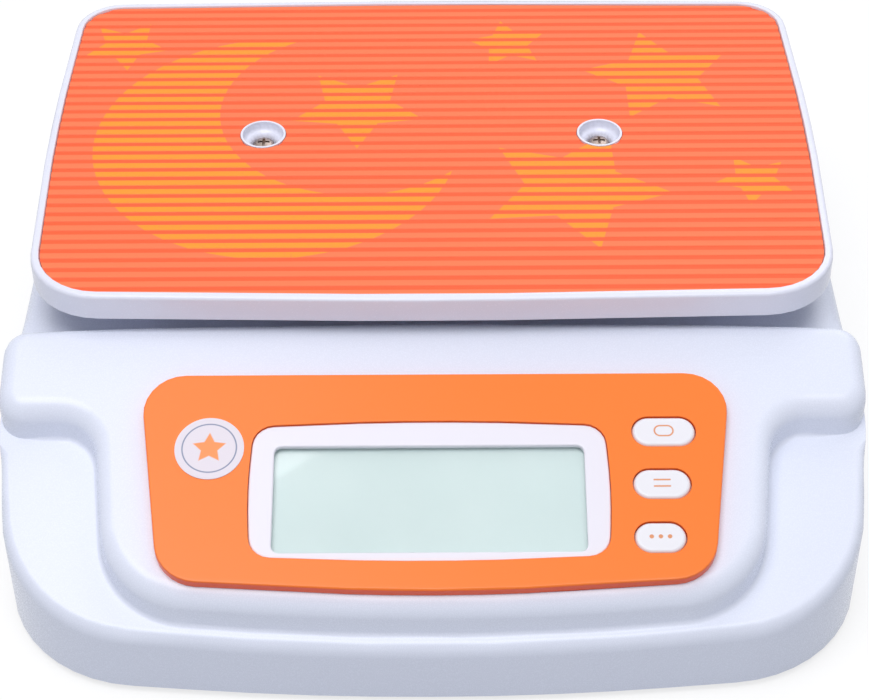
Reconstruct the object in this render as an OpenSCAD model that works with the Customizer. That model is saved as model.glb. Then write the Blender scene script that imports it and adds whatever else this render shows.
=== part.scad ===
// Digital baby weighing scale: a two-tier wedge base with a tilted console, and a
// weighing platform with a ribbed mat on a bar load cell.
// Millimetres. +Z is up, +Y is the back, the console faces -Y, and z = 0 is the table.

/* [Base] */
// Width of the base across its shoulders
base_w = 300; // [250:1:360]
// Depth of the base from front to back
base_d = 294; // [245:1:360]
// Wall of the moulded housing
wall = 2.5; // [1.8:0.1:3]
// Height of the table gap that the feet leave under the base
foot_gap = 3; // [2:0.5:6]
// Height of the front edge of the lower tier
front_h = 27; // [24:0.5:36]
// Radius of the front corners in plan
front_corner_r = 50; // [35:1:62]
// Radius of the back corners in plan
back_corner_r = 24; // [15:1:40]
// Rounding along the top edge of the lower tier
tier_edge_r = 5; // [3:0.5:7]

/* [Console] */
// Slope of the console and of the tier it stands on
slope = 17; // [12:0.5:20]
// Height of the console over the lower tier, square to the slope
console_h = 12.5; // [11:0.5:16]
// Depth of the console behind the panel, up to its ridge
console_back = 24.8; // [20:0.1:34]
// Width of the console on each side of the panel, at its front corners
console_side = 7.5; // [6:0.5:16]
// Depth of the full-width shoulders, from the ridge forwards
shoulder_d = 36; // [28:1:44]
// Rounding along the console's top edge
console_edge_r = 6; // [4:0.5:7]

/* [Display] */
// Width of the display window
window_w = 104; // [80:1:125]
// Height of the display window
window_h = 39.5; // [32:0.5:48]
// Width of the bezel at each side of the window
bezel_side = 8.5; // [7:0.5:14]
// Height of the bezel over and under the window, on average
bezel_band = 6.55; // [5.5:0.05:10]

/* [Control panel] */
// Height that the panel stands over the console
panel_rise = 4; // [3:0.25:5]
// Plate thickness of the panel
panel_t = 2.2; // [1.6:0.1:2.6]
// Margin of the panel outside its disc and its buttons
panel_margin = 13.4; // [10:0.1:20]
// Height of the panel under the bezel
panel_low = 10.1; // [8:0.1:16]
// Height of the panel over the bezel
panel_high = 18.3; // [14:0.1:26]
// Diameter of the round disc at the left of the display
disc_d = 23.4; // [18:0.2:28]
// Gap between the disc and the bezel
disc_gap = 1.6; // [1:0.1:6]

/* [Buttons] */
// Height of each button, which is also its end diameter
button_h = 11.1; // [9:0.1:13.4]
// Width of the top button
button_w = 21.3; // [18:0.1:26]
// How much narrower each button is than the one above
button_step = 2.15; // [1:0.05:2.5]
// Distance from one button to the next, along the slope
button_pitch = 19.8; // [17:0.1:20.5]
// Distance between the bezel and the buttons
button_off = 7.9; // [5:0.1:12]
// Gap between a button and its hole
button_gap = 0.25; // [0.2:0.05:0.4]
// Travel of a button
button_travel = 0.5; // [0.3:0.1:0.8]

/* [Platform] */
// Width of the weighing platform at its middle
platform_w = 287; // [239:1:345]
// Depth of the weighing platform
platform_d = 185; // [154:1:222]
// Height of the platform's rim
rim_h = 10.5; // [8.7:0.1:14]
// Clear height between the console's ridge and the rim
rim_gap = 4.5; // [3:0.5:10]
// Width of the white lip round the mat
lip_w = 3; // [2.5:0.1:4]
// Distance between the two tray screws
tray_spacing = 126; // [100:1:150]
// Inside diameter of the cups that the tray screws stand in
cup_d = 15.3; // [12.7:0.1:18.4]
// Distance from one rib of the mat to the next
rib_pitch = 5.2; // [4:0.1:6.5]
// Height of the mat's ribs
rib_h = 0.4; // [0.3:0.05:0.8]

/* [Weighing mechanism] */
// Length of the load cell bar
cell_l = 120; // [100:1:144]
// Width of the load cell bar
cell_w = 30; // [25:1:36]
// Height of the load cell bar
cell_h = 22; // [18:0.5:26.5]

/* [Batteries] */
// Diameter of a battery
battery_d = 14.3; // [10.4:0.1:17.2]
// Length of a battery
battery_l = 50.4; // [44.4:0.1:60.5]

/* [Hidden] */
$fn = 48;

// Fits: the running gap between pieces, and the overlap that fuses shapes of one moulding.
fit = 0.3;
bite = 0.5;

// ---- Base: plan and height laws ----
half_w = base_w / 2;
front_y = -base_d / 2;
back_y = base_d / 2;
rise = tan(slope);
tier_lift = console_h / cos(slope);
panel_y = 10.2;
bezel_h = window_h + 2 * bezel_band;
bezel_w = window_w + 2 * bezel_side;
panel_h = panel_low + bezel_h + panel_high;
panel_w = 2 * panel_margin + disc_d + disc_gap + bezel_w + button_off + button_w;
panel_top = panel_y + panel_h;
neck_w = panel_w + 2 * console_side;
ridge_y = front_y + panel_top * cos(slope) + console_back;
deck_z = front_h + rise * (ridge_y - 2.4 - front_y);
ridge_z = tier_lift + deck_z;
bow_r = 900;
bow_slope = 0.09;
bow_drop = bow_r * (1 / cos(atan(bow_slope)) - 1);

function tier_z(y) = min(front_h + rise * (y - front_y), deck_z);
function console_z(y) = front_h + tier_lift + rise * (y - front_y);

// ---- Outlines: vertices with a radius, turned into arcs that can be inset ----
// A vertex is [x, y, radius, steps]; outlines run anticlockwise seen from above. Where two
// arcs would not fit on the edge between them, both are held to their share of it.
function unit(v) = v / norm(v);
function xy(v) = [v[0], v[1]];
function turn(a) = a > 180 ? a - 360 : (a < -180 ? a + 360 : a);
function half_angle(p, v, q) = acos(unit(xy(p) - xy(v)) * unit(xy(q) - xy(v))) / 2;
function corner_arc(p, v, q, r, inset) =
    let (a = unit(xy(p) - xy(v)), b = unit(xy(q) - xy(v)), half = half_angle(p, v, q))
    let (c = xy(v) + unit(a + b) * r / sin(half))
    let (start = xy(v) + a * r / tan(half) - c, end = xy(v) + b * r / tan(half) - c)
    let (a0 = atan2(start[1], start[0]), da = turn(atan2(end[1], end[0]) - a0))
    let (ra = max(r - sign(da) * inset, 0.15))
    [for (k = [0:v[3]]) c + ra * [cos(a0 + da * k / v[3]), sin(a0 + da * k / v[3])]];
function outline(vs, insets) =
    let (n = len(vs))
    let (t = [for (i = [0:n - 1])
        vs[i][2] / tan(half_angle(vs[(i + n - 1) % n], vs[i], vs[(i + 1) % n]))])
    let (room = [for (i = [0:n - 1])
        0.96 * norm(xy(vs[(i + 1) % n]) - xy(vs[i])) / (t[i] + t[(i + 1) % n])])
    [for (i = [0:n - 1])
        let (d = is_list(insets) ? insets[i] : insets)
        let (r = vs[i][2] * min(1, room[i], room[(i + n - 1) % n]))
        each corner_arc(vs[(i + n - 1) % n], vs[i], vs[(i + 1) % n], r, d)];
function mirrored(half) =
    concat(half, [for (i = [len(half) - 2:-1:1]) [-half[i][0], half[i][1], half[i][2], half[i][3]]]);
function mirrored_values(half) = concat(half, [for (i = [len(half) - 2:-1:1]) half[i]]);
function heights(points, z) = [for (p = points) [p[0], p[1], z]];

// A closed skin through a list of rings, with a point that closes each end.
module loft(rings, first, last) {
    n = len(rings[0]);
    m = len(rings);
    points = concat([first], [for (r = rings) each r], [last]);
    faces = concat(
        [for (i = [0:n - 1]) [0, 1 + i, 1 + (i + 1) % n]],
        [for (j = [0:m - 2], i = [0:n - 1])
            each [[1 + j * n + i, 1 + (j + 1) * n + i, 1 + (j + 1) * n + (i + 1) % n],
                [1 + j * n + i, 1 + (j + 1) * n + (i + 1) % n, 1 + j * n + (i + 1) % n]]],
        [for (i = [0:n - 1]) [1 + (m - 1) * n + i, 1 + m * n, 1 + (m - 1) * n + (i + 1) % n]]);
    polyhedron(points, faces);
}

// The base's plan: bowed front, big front corners, sides, back corners.
// The console's plan has a matching vertex for each one, so that rings can join them.
side_steps = 6;
shoulder_y = ridge_y - shoulder_d;
function front_rise(x) = bow_slope * x - bow_drop;
base_plan = mirrored([
    [0, front_y + front_rise(0), bow_r, 8],
    [half_w - 6, front_y + front_rise(half_w - 6), front_corner_r, 10],
    [half_w - 2.3, shoulder_y - 12, 150, side_steps],
    [half_w - 0.2, shoulder_y + 2, 60, side_steps],
    [half_w, ridge_y - 7, 60, side_steps],
    [half_w - 2.6, ridge_y + 8, 100, 3],
    [half_w - 5, back_y - 1.4, back_corner_r, 7],
    [0, back_y + 0.05, bow_r, 2]]);

foot_y = front_y + 5;
neck_x = neck_w / 2;
flush = 0.5;
console_plan = mirrored([
    [0, foot_y + front_rise(0), bow_r, 8],
    [neck_x, foot_y + front_rise(neck_x), 32, 10],
    [neck_x + 7.5, shoulder_y, 14, side_steps],
    [half_w - flush, shoulder_y, 9, side_steps],
    [half_w - flush, ridge_y - 3.3, 8.5, side_steps],
    [neck_x + 20, ridge_y - 2.2, 60, 3],
    [neck_x - 8, ridge_y - 1.3, 60, 7],
    [0, ridge_y, bow_r, 2]]);

// Rounding of the tier's edge and of the console's foot, which both fade out where the
// shoulders stand flush with the base's sides. At the front the tier is narrow, so its
// edge is rounded further down than in.
tier_inset = mirrored_values([0.62, 0.7, 0.6, 0.05, 0.05, 1, 1, 1]) * tier_edge_r;
tier_drop = mirrored_values([1, 1, 0.6, 0.05, 0.05, 1, 1, 1]) * tier_edge_r;
foot_r = 1.6;
foot_round = mirrored_values([1, 1, 1, 0.05, 0.05, 1, 1, 1]) * foot_r;

function vertex_values(vs, values) = [for (i = [0:len(vs) - 1]) for (k = [0:vs[i][3]]) values[i]];
function tier_ring(a) =
    let (pts = outline(base_plan, tier_inset * (1 - cos(a))))
    let (r = vertex_values(base_plan, tier_drop))
    [for (i = [0:len(pts) - 1]) [pts[i][0], pts[i][1], tier_z(pts[i][1]) - r[i] * (1 - sin(a))]];
function foot_ring(a) =
    let (pts = outline(console_plan, foot_round * (sin(a) - 1)))
    let (r = vertex_values(console_plan, foot_round))
    [for (i = [0:len(pts) - 1]) [pts[i][0], pts[i][1], tier_z(pts[i][1]) + r[i] * (1 - cos(a))]];
function console_ring(inset, drop) =
    [for (p = outline(console_plan, inset)) [p[0], p[1], console_z(p[1]) - drop]];
function tier_inner(inset, drop, plan) =
    [for (p = outline(plan, inset)) [p[0], p[1], tier_z(p[1]) - drop]];

// What fastens through the floor of the base: six self-tapping screws and four feet.
screw_d = 2.84;
screw_l = 13;
screw_head_d = 6.6;
screw_head_h = 1.2;
screw_places = [for (sx = [-1, 1]) each [
    [sx * (neck_w / 2 - 14), front_y + 26], [sx * (half_w - 20), ridge_y - 20],
    [sx * (half_w - 20), back_y - 24]]];
foot_places = [for (sx = [-1, 1]) each [
    [sx * (half_w - 38), front_y + 42], [sx * (half_w - 30), back_y - 40]]];
skirt_z = foot_gap;
floor_z = skirt_z + 0.5;
floor_t = 3;
floor_top = floor_z + floor_t;
boss_d = 9;
foot_d = 16.6;
foot_stem_d = 6;
foot_sink = 0.8;

// ---- Console frame: x across, y up the slope, z square to it, 0 on its surface ----
module on_console() {
    translate([0, front_y, front_h + tier_lift]) rotate([slope, 0, 0]) children();
}

panel_x = 0.9;
panel_taper = 0.133;
disc_x = panel_x - panel_w / 2 + panel_margin + disc_d / 2;
bezel_x = disc_x + disc_d / 2 + disc_gap + bezel_w / 2;
bezel_y = panel_y + panel_low + bezel_h / 2;
bezel_z = panel_rise - 0.6;
window_y = bezel_y - 2.9;
disc_y = bezel_y + 15.8;
button_left = bezel_x + bezel_w / 2 + button_off;
button_y = bezel_y + 1.8 + button_pitch;

panel_plan = [for (v = mirrored([
    [0, panel_y - 1.6, 700, 6],
    [panel_w / 2 - panel_taper * (panel_h - 5), panel_y + 4, 15, 7],
    [panel_w / 2, panel_top, 14, 7],
    [0, panel_top + 0.2, 2000, 2]])) [v[0] + panel_x, v[1], v[2], v[3]]];
bezel_plan = [for (v = mirrored([
    [0, -bezel_h / 2 - 0.6, 900, 5],
    [bezel_w / 2 - 1.5, -bezel_h / 2 + 2, 7.5, 5],
    [bezel_w / 2 + 0.2, 0, 200, 4],
    [bezel_w / 2 - 1.5, bezel_h / 2 - 2, 7.5, 5],
    [0, bezel_h / 2 + 0.6, 900, 5]])) [v[0] + bezel_x, v[1] + bezel_y, v[2], v[3]]];

module plan_slab(vs, inset, z0, z1) {
    translate([0, 0, z0]) linear_extrude(z1 - z0) polygon(outline(vs, inset));
}

module rounded_slab(w, h, r, z0, z1) {
    translate([0, 0, z0]) linear_extrude(z1 - z0) polygon(outline([
        [w / 2, h / 2, r, 4], [-w / 2, h / 2, r, 4], [-w / 2, -h / 2, r, 4], [w / 2, -h / 2, r, 4]], 0));
}

// The clear hole in the console that the display and the switches stand in. It is
// smaller than the panel all round, so the panel's rim rests on the console.
port_left = bezel_x - bezel_w / 2 - 12.3;
port_low = panel_y + 9;
port_high = panel_top - 12;
port_right_low = button_left + button_w + 0.5;
port_right_high = button_left + button_w + 7;
port_plan = [[port_left, port_low, 6, 4], [port_right_low, port_low, 6, 4],
    [port_right_high, port_high, 6, 4], [port_left, port_high, 6, 4]];

// ---- Housing ----
flexure_w = 32;
cell_end = (cell_l - flexure_w) / 4;
cell_y = back_y - 4.5 - platform_d / 2;
deck_hole = [cell_end * 2 + 8, cell_w + 10];
m6 = 6;

module upper_housing() {
    color("white") difference() {
        union() {
            loft(concat(
                [console_ring(wall + 2.5, wall / cos(slope)),
                    console_ring(wall, wall / cos(slope) + 2.5),
                    tier_inner(wall, wall, console_plan),
                    tier_inner(wall, wall, base_plan),
                    heights(outline(base_plan, wall), skirt_z),
                    heights(outline(base_plan, 0), skirt_z)],
                [for (a = [0, 30, 60, 90]) tier_ring(a)],
                [for (a = [0, 45, 90]) foot_ring(a)],
                [for (a = [0:18:90])
                    console_ring(console_edge_r * (1 - cos(a)), console_edge_r * (1 - sin(a)))]),
                [0, ridge_y - 26, console_z(ridge_y - 26) - wall / cos(slope)],
                [0, ridge_y - 26, console_z(ridge_y - 26)]);
            for (p = screw_places) screw_boss(p);
        }
        on_console() plan_slab(port_plan, 0, -wall - 5, 5);
        translate([cell_l / 2 - cell_end, cell_y, deck_z - wall / 2])
            cube([deck_hole[0], deck_hole[1], wall + 2], center = true);
        for (p = screw_places) translate([p[0], p[1], floor_top - 1])
            cylinder(d = screw_d + 0.06, h = screw_l + 1);
    }
}

function roof_z(p) = p[1] > ridge_y - 5 ? deck_z - wall : console_z(p[1]) - wall / cos(slope);
module screw_boss(p) {
    translate([p[0], p[1], floor_top + 0.1]) cylinder(d = boss_d, h = roof_z(p) - floor_top + bite);
}

battery_gap = 0.4;
contact_room = 4.5;
bay_x = 4 * battery_d + 3 * battery_gap + 1.2;
bay_y = battery_l + 2 * contact_room;
bay_z = battery_d + 1.4;
bay_mid_y = front_y + 42 + bay_y / 2;
bay_wall = 1.8;
door_t = 1.8;
door_edge = 3;
door_gap = 0.35;
hinge_y = bay_mid_y + bay_y / 2 + door_edge;
latch_y = bay_mid_y - bay_y / 2 - door_edge + door_gap;
sill_t = 1.2;
tab_w = 8;
tab_l = 2.4;
tab_z = floor_z + sill_t + 0.1;
latch_w = 12;

module bay_box(grow, z0, z1) {
    translate([-bay_x / 2 - grow, bay_mid_y - bay_y / 2 - grow, z0])
        cube([bay_x + 2 * grow, bay_y + 2 * grow, z1 - z0]);
}

// The bar lies level, a little under the deck, between a spacer on the plinth and the
// spacer under the support.
plinth_x = cell_l / 2 - cell_end;
spacer_t = 4;
cell_air = 4.5;
cell_z = deck_z - wall - cell_air - cell_h;
plinth_h = cell_z - spacer_t - floor_top;
cell_screw_dx = 7.5;
cell_screw_head = 6;
cell_grip = 12;
seat_gap = 0.05;
stiffener_x = half_w - 55;
stiffener_h = 9;

module lower_housing() {
    inner = wall + fit;
    color("white") difference() {
        union() {
            plan_slab(base_plan, inner, floor_z, floor_top);
            bay_box(bay_wall, floor_z, floor_z + door_t + bay_z + bay_wall);
            translate([-plinth_x, cell_y, floor_top - bite + (plinth_h + bite) / 2])
                cube([cell_end * 2, cell_w + 6, plinth_h + bite], center = true);
            for (sx = [-1, 1]) translate([sx * stiffener_x, 0, 0]) stiffener();
            for (p = screw_places) translate([p[0], p[1], floor_z]) cylinder(d = 13, h = floor_t);
        }
        bay_box(door_edge, floor_z - 1, floor_z + door_t + 0.1);
        bay_box(0, floor_z - 1, floor_z + door_t + bay_z);
        for (sx = [-1, 1])
            translate([sx * bay_x / 4 - tab_w / 2 - 0.5, hinge_y - door_edge - bite, floor_z + sill_t])
                cube([tab_w + 1, door_edge + tab_l + 0.8 + bite, 5]);
        translate([-latch_w / 2 - 0.5, latch_y - 0.3, floor_z + door_t])
            cube([latch_w + 1, door_edge + 0.3, 5]);
        translate([0, latch_y - 3, floor_z - 1]) cylinder(d = 16, h = 2.2);
        for (p = screw_places) translate([p[0], p[1], floor_z - 1]) {
            cylinder(d = screw_d + 0.76, h = floor_t + 2);
            cylinder(d = screw_head_d + 0.8, h = screw_head_h + 1.2);
        }
        for (p = foot_places) translate([p[0], p[1], floor_z - 1]) {
            cylinder(d = foot_d + 0.4, h = foot_sink + 1);
            cylinder(d = foot_stem_d + 0.4, h = floor_t + 2);
        }
        for (dx = [-1, 1]) translate([-plinth_x + dx * cell_screw_dx, cell_y, floor_z - 1]) {
            cylinder(d = m6 + 0.6, h = plinth_h + floor_t + 2);
            cylinder(d = 11.5, h = 1 + floor_t + plinth_h - cell_grip);
        }
        translate([plinth_x, cell_y, floor_z - 1]) cylinder(d = m6 + 0.2, h = floor_t + 2);
    }
}

// A long upright web that stiffens the floor between front and back.
module stiffener() {
    translate([-1, ridge_y - 10, floor_top - bite]) cube([2, back_y - ridge_y - 20, stiffener_h + bite]);
}

module housing_screws() {
    color("silver") for (p = screw_places) translate([p[0], p[1], floor_z + 0.2]) {
        translate([0, 0, 0.4]) cylinder(d = screw_head_d, h = screw_head_h - 0.4);
        cylinder(d1 = screw_head_d - 1.2, d2 = screw_head_d, h = 0.41);
        translate([0, 0, screw_head_h - 0.1]) cylinder(d = screw_d, h = screw_l);
    }
}

module rubber_feet() {
    r = foot_d / 2;
    stem_r = foot_stem_d / 2;
    barb_z = floor_top + 0.2;
    color("dimgray") for (p = foot_places) translate([p[0], p[1], 0])
        rotate_extrude() polygon([[0, 0], [r - 1.7, 0], [r - 0.9, 0.8], [r, foot_gap + 0.3],
            [r, floor_z + foot_sink], [stem_r, floor_z + foot_sink], [stem_r, barb_z],
            [stem_r + 0.9, barb_z], [stem_r - 0.6, barb_z + 3], [0, barb_z + 3]]);
}

// The door tilts about its rounded back edge: two tabs over the sill hold that edge, and a
// latch block stands in the ledge's notch at the other one.
door_w = bay_x + 2 * (door_edge - door_gap);
pivot_y = hinge_y - door_gap - door_t / 2;
module battery_door() {
    color("white") difference() {
        union() {
            translate([-door_w / 2, latch_y, floor_z]) cube([door_w, pivot_y - latch_y, door_t]);
            translate([-door_w / 2, pivot_y, floor_z + door_t / 2]) rotate([0, 90, 0])
                cylinder(d = door_t, h = door_w);
            for (sx = [-1, 1]) translate([sx * bay_x / 4 - tab_w / 2, hinge_y - door_edge, tab_z])
                cube([tab_w, door_edge + tab_l, 1.2]);
            translate([-latch_w / 2, latch_y, floor_z + door_t - bite]) cube([latch_w, 2.2, 1.4 + bite]);
        }
        for (k = [-2:2]) translate([0, latch_y + 9 + k * 2.4, floor_z]) cube([22, 1, 0.8], center = true);
    }
}

function battery_x(i) = (i - 1.5) * (battery_d + battery_gap);
function battery_end(i) = i % 2 == 0 ? 1 : -1;
battery_shift = 1.2;
battery_mid_z = floor_z + door_t + 0.5 + battery_d / 2;

module batteries() {
    r = battery_d / 2;
    end = battery_l / 2;
    color("goldenrod") for (i = [0:3])
        translate([battery_x(i), bay_mid_y + battery_end(i) * battery_shift, battery_mid_z])
            rotate([-90 * battery_end(i), 0, 0])
            rotate_extrude() polygon([[0, -end], [4.4, -end], [4.4, -end + 0.4], [r - 0.6, -end + 0.4],
                [r, -end + 1], [r, end - 2], [r - 0.6, end - 1.4], [2.7, end - 1.4], [2.7, end], [0, end]]);
}

// Cone springs press on the flat ends, and each is one wound wire.
contact_t = 0.5;
contact_w = battery_d - 3.3;
spring_l = contact_room + battery_shift - contact_t - 0.2;
spring_wire = 0.7;
spring_r = contact_w / 2 - 0.9;
module cone_spring(turns = 3, steps = 14) {
    n = turns * steps;
    sides = 6;
    function centre(k) =
        let (r = spring_r * (1 - 0.48 * k / n), a = 360 * k / steps)
        [r * cos(a), r * sin(a), spring_wire / 2 + (spring_l - spring_wire) * k / n];
    ring = function (k) let (a = 360 * k / steps, c = centre(k))
        [for (s = [0:sides - 1]) c + spring_wire / 2 *
            [cos(a) * cos(360 * s / sides), sin(a) * cos(360 * s / sides), sin(360 * s / sides)]];
    loft([for (k = [n:-1:0]) ring(k)], centre(n), centre(0));
}

module battery_springs() {
    color("silver") for (i = [0:3])
        translate([battery_x(i), bay_mid_y - battery_end(i) * (bay_y / 2 - 0.1), battery_mid_z])
            rotate([-90 * battery_end(i), 0, 0]) {
                translate([0, 0, contact_t - 0.05]) cone_spring();
                translate([0, 0, contact_t / 2]) cube([contact_w, contact_w, contact_t], center = true);
            }
}

module battery_tabs() {
    color("silver") for (i = [0:3])
        translate([battery_x(i), bay_mid_y + battery_end(i) * (bay_y / 2 - 0.1), battery_mid_z])
            rotate([90 * battery_end(i), 0, 0]) {
                translate([0, 0, contact_t / 2]) cube([contact_w, contact_w, contact_t], center = true);
                cylinder(d = 5, h = contact_room - battery_shift - 0.15);
            }
}

// ---- Control panel ----
module panel_loft(z0) {
    r = 0.8;
    loft(concat([heights(outline(panel_plan, 0), z0)],
        [for (a = [0, 45, 90])
            heights(outline(panel_plan, r * (1 - cos(a))), panel_rise - r * (1 - sin(a)))]),
        [panel_x, panel_y + panel_h / 2, z0], [panel_x, panel_y + panel_h / 2, panel_rise]);
}

function button_w_at(i) = button_w - i * button_step;
function button_x(i) = button_left + button_w_at(i) / 2 - 0.5 * i;
function button_mid_y(i) = button_y - i * button_pitch;

module at_button(i) {
    translate([button_x(i), button_mid_y(i), 0]) children();
}

module pill(w, h, z0, z1) {
    translate([0, 0, z0]) {
        for (sx = [-1, 1]) translate([sx * (w - h) / 2, 0, 0]) cylinder(d = h, h = z1 - z0);
        translate([-(w - h) / 2, -h / 2, 0]) cube([w - h, h, z1 - z0]);
    }
}

board_z = -7.5;
board_t = 1.6;
board_screw_d = 2.04;
post_d = 5;
board_posts = [[port_left + 5, port_low + 5], [port_left + 5, port_high - 5],
    [port_right_low - 4.4, port_low + 3.4], [port_right_high - 5.3, port_high - 3.2]];

// Snap hooks reach through the port and grip the console's wall from behind. They stand
// at the port's high edge, and at its low edge beside the display's frame.
hook_w = 6;
hook_t = 1.6;
hook_grip = 1.2;
hook_places = [port_left + 12, bezel_x, bezel_x + bezel_w / 2 + 1.5];
module panel_hook(x, edge_y, side) {
    under = panel_rise - panel_t;
    barb_z = -wall - 0.25 - hook_grip;
    translate([x - hook_w / 2, edge_y, 0]) mirror([0, side > 0 ? 1 : 0, 0]) {
        translate([0, fit, barb_z]) cube([hook_w, hook_t, under + bite - barb_z]);
        translate([0, fit - hook_grip, barb_z]) cube([hook_w, hook_t + hook_grip, hook_grip]);
    }
}

module control_panel() {
    under = panel_rise - panel_t;
    color("darkorange") on_console() difference() {
        union() {
            difference() {
                panel_loft(0);
                plan_slab(panel_plan, 2.4, -1, under);
            }
            for (p = board_posts) translate([p[0], p[1], board_z])
                cylinder(d = post_d, h = under - board_z + bite);
            for (x = hook_places) panel_hook(x, port_high, 1);
            for (x = [hook_places[0], hook_places[2]]) panel_hook(x, port_low, -1);
        }
        plan_slab(bezel_plan, -0.15, under - 1, panel_rise + 1);
        for (i = [0:2]) at_button(i)
            pill(button_w_at(i) + 2 * button_gap, button_h + 2 * button_gap, under - 1, panel_rise + 1);
        for (p = board_posts) translate([p[0], p[1], board_z - 1]) cylinder(d = board_screw_d + 0.06, h = 7);
    }
}

bezel_back = panel_rise - panel_t - 0.1;
window_t = 1;
module lcd_bezel() {
    color("white") on_console() difference() {
        union() {
            plan_slab(bezel_plan, 0, bezel_back - bite, bezel_z);
            plan_slab(bezel_plan, -1.6, bezel_back - 1.4, bezel_back);
        }
        translate([bezel_x, window_y, 0]) {
            rounded_slab(window_w, window_h, 2.5, bezel_back - 3, bezel_z + 1);
            rounded_slab(window_w + 5, window_h + 4, 2, bezel_back - 3, bezel_back - 1.4 + window_t + 0.1);
        }
    }
}

window_z = bezel_back - 1.4;
module display_window() {
    color("lightcyan", 0.4) on_console() translate([bezel_x, window_y, 0])
        rounded_slab(window_w + 4.6, window_h + 3.6, 1.8, window_z, window_z + window_t);
}

glass_t = 2.8;
glass_top = window_z - 0.3;
module lcd_glass() {
    color("lightcyan") on_console() translate([bezel_x, window_y, 0]) {
        rounded_slab(window_w + 3, window_h + 2, 0.4, glass_top - glass_t / 2, glass_top);
        rounded_slab(window_w + 3, window_h + 6, 0.4, glass_top - glass_t, glass_top - glass_t / 2 + 0.001);
    }
}

frame_outer = [window_w + 9, window_h + 9];
module lcd_frame() {
    color("whitesmoke") on_console() translate([bezel_x, window_y, 0]) difference() {
        rounded_slab(frame_outer[0], frame_outer[1], 2, board_z, window_z - 0.2);
        rounded_slab(window_w + 3.6, window_h + 6.6, 0.6, board_z - 1, glass_top - glass_t / 2 + 0.1);
        rounded_slab(window_w + 3.6, window_h + 2.6, 0.6, board_z - 1, window_z + 1);
    }
}

strip_h = glass_top - glass_t - board_z;
module contact_strips() {
    color("pink") on_console() for (sy = [-1, 1])
        translate([bezel_x, window_y + sy * (window_h / 2 + 1), board_z + strip_h / 2])
            cube([window_w - 8, 2.4, strip_h], center = true);
}

module circuit_board() {
    color("green") on_console() difference() {
        plan_slab(port_plan, 0.8, board_z - board_t, board_z);
        for (p = board_posts) translate([p[0], p[1], board_z - board_t - 1])
            cylinder(d = board_screw_d + 0.96, h = board_t + 2);
    }
}

module board_screws() {
    color("silver") on_console() for (p = board_posts) translate([p[0], p[1], board_z - board_t]) {
        translate([0, 0, -1.4]) cylinder(d = 4.2, h = 1.4);
        translate([0, 0, -0.4]) cylinder(d = board_screw_d, h = 6.4);
    }
}

switch_h = 3.6;
plunger_d = 3.5;
stem_z = -2.2;
module switch_bodies() {
    color("black") on_console() for (i = [0:2]) at_button(i) difference() {
        translate([-3, -3, board_z]) cube([6, 6, switch_h]);
        translate([0, 0, board_z + 0.9]) cylinder(d = plunger_d + 2 * fit, h = switch_h);
    }
}

module plunger(i) {
    color("dimgray") on_console() at_button(i)
        translate([0, 0, board_z + 0.9 + button_travel + 0.2])
            cylinder(d = plunger_d, h = stem_z - board_z - 1.1 - button_travel);
}

// A pill-shaped cap with a rounded rim, a flange behind the panel and a stem.
module cap(i) {
    w = button_w_at(i);
    h = button_h;
    top = panel_rise + 0.1;
    edge = 1.4;
    under = panel_rise - panel_t;
    profile = concat([[0, under - bite], [h / 2, under - bite]],
        [for (a = [0:15:90]) [h / 2 - edge * (1 - cos(a)), top - edge * (1 - sin(a))]], [[0, top]]);
    for (sx = [-1, 1]) translate([sx * (w - h) / 2, 0, 0]) rotate_extrude() polygon(profile);
    translate([-(w - h) / 2, 0, 0]) rotate([90, 0, 90]) linear_extrude(w - h)
        polygon(concat(profile, [for (k = [len(profile) - 1:-1:0]) [-profile[k][0], profile[k][1]]]));
    pill(w + 2, h + 2, under - 1.3, under - fit);
    translate([0, 0, stem_z]) cylinder(d = 4.6, h = under - stem_z - 0.5);
}

module button(i) {
    color("white") on_console() at_button(i) cap(i);
}

disc_t = 0.35;
module panel_disc() {
    color("white") on_console() translate([disc_x, disc_y, panel_rise])
        cylinder(d = disc_d, h = disc_t, $fn = 96);
}

// ---- Weighing mechanism ----
cell_top = cell_z + cell_h;
support_z = deck_z + 3.5;
support_t = 2.5;

module cell_screw_holes(x, z, h, d) {
    for (dx = [-1, 1]) translate([x + dx * cell_screw_dx, cell_y, z]) cylinder(d = d, h = h);
}

flexure_r = (cell_h - 5) / 2;
flexure_x = flexure_w / 2 + 2 - flexure_r;
module load_cell() {
    color("silver") difference() {
        translate([-cell_l / 2, cell_y - cell_w / 2, cell_z]) cube([cell_l, cell_w, cell_h]);
        for (sx = [-1, 1]) translate([sx * flexure_x, cell_y, cell_z + cell_h / 2]) rotate([90, 0, 0])
            cylinder(r = flexure_r, h = cell_w + 2, center = true);
        translate([0, cell_y, cell_z + cell_h / 2]) cube([2 * flexure_x, cell_w + 2, 6], center = true);
        cell_screw_holes(-plinth_x, cell_z - 1, cell_h + 2, m6 + 0.2);
        cell_screw_holes(plinth_x, cell_z - 1, cell_h + 2, m6 + 0.2);
    }
}

module spacer(x, z, h) {
    color("gray") difference() {
        translate([x, cell_y, z + h / 2]) cube([cell_end * 2 - 4, cell_w, h], center = true);
        cell_screw_holes(x, z - 1, h + 2, m6 + 0.6);
    }
}

module lower_spacer() {
    spacer(-plinth_x, floor_top + plinth_h, spacer_t);
}

// It clears the ends of the tray screws, where a longer bar reaches them.
module upper_spacer() {
    color("gray") difference() {
        spacer(plinth_x, cell_top + seat_gap, support_z - cell_top - seat_gap);
        for (p = tray_places) translate([p[0], p[1], cell_top])
            cylinder(d = tray_screw_d + 1, h = support_z - cell_top + 1);
    }
}

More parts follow.
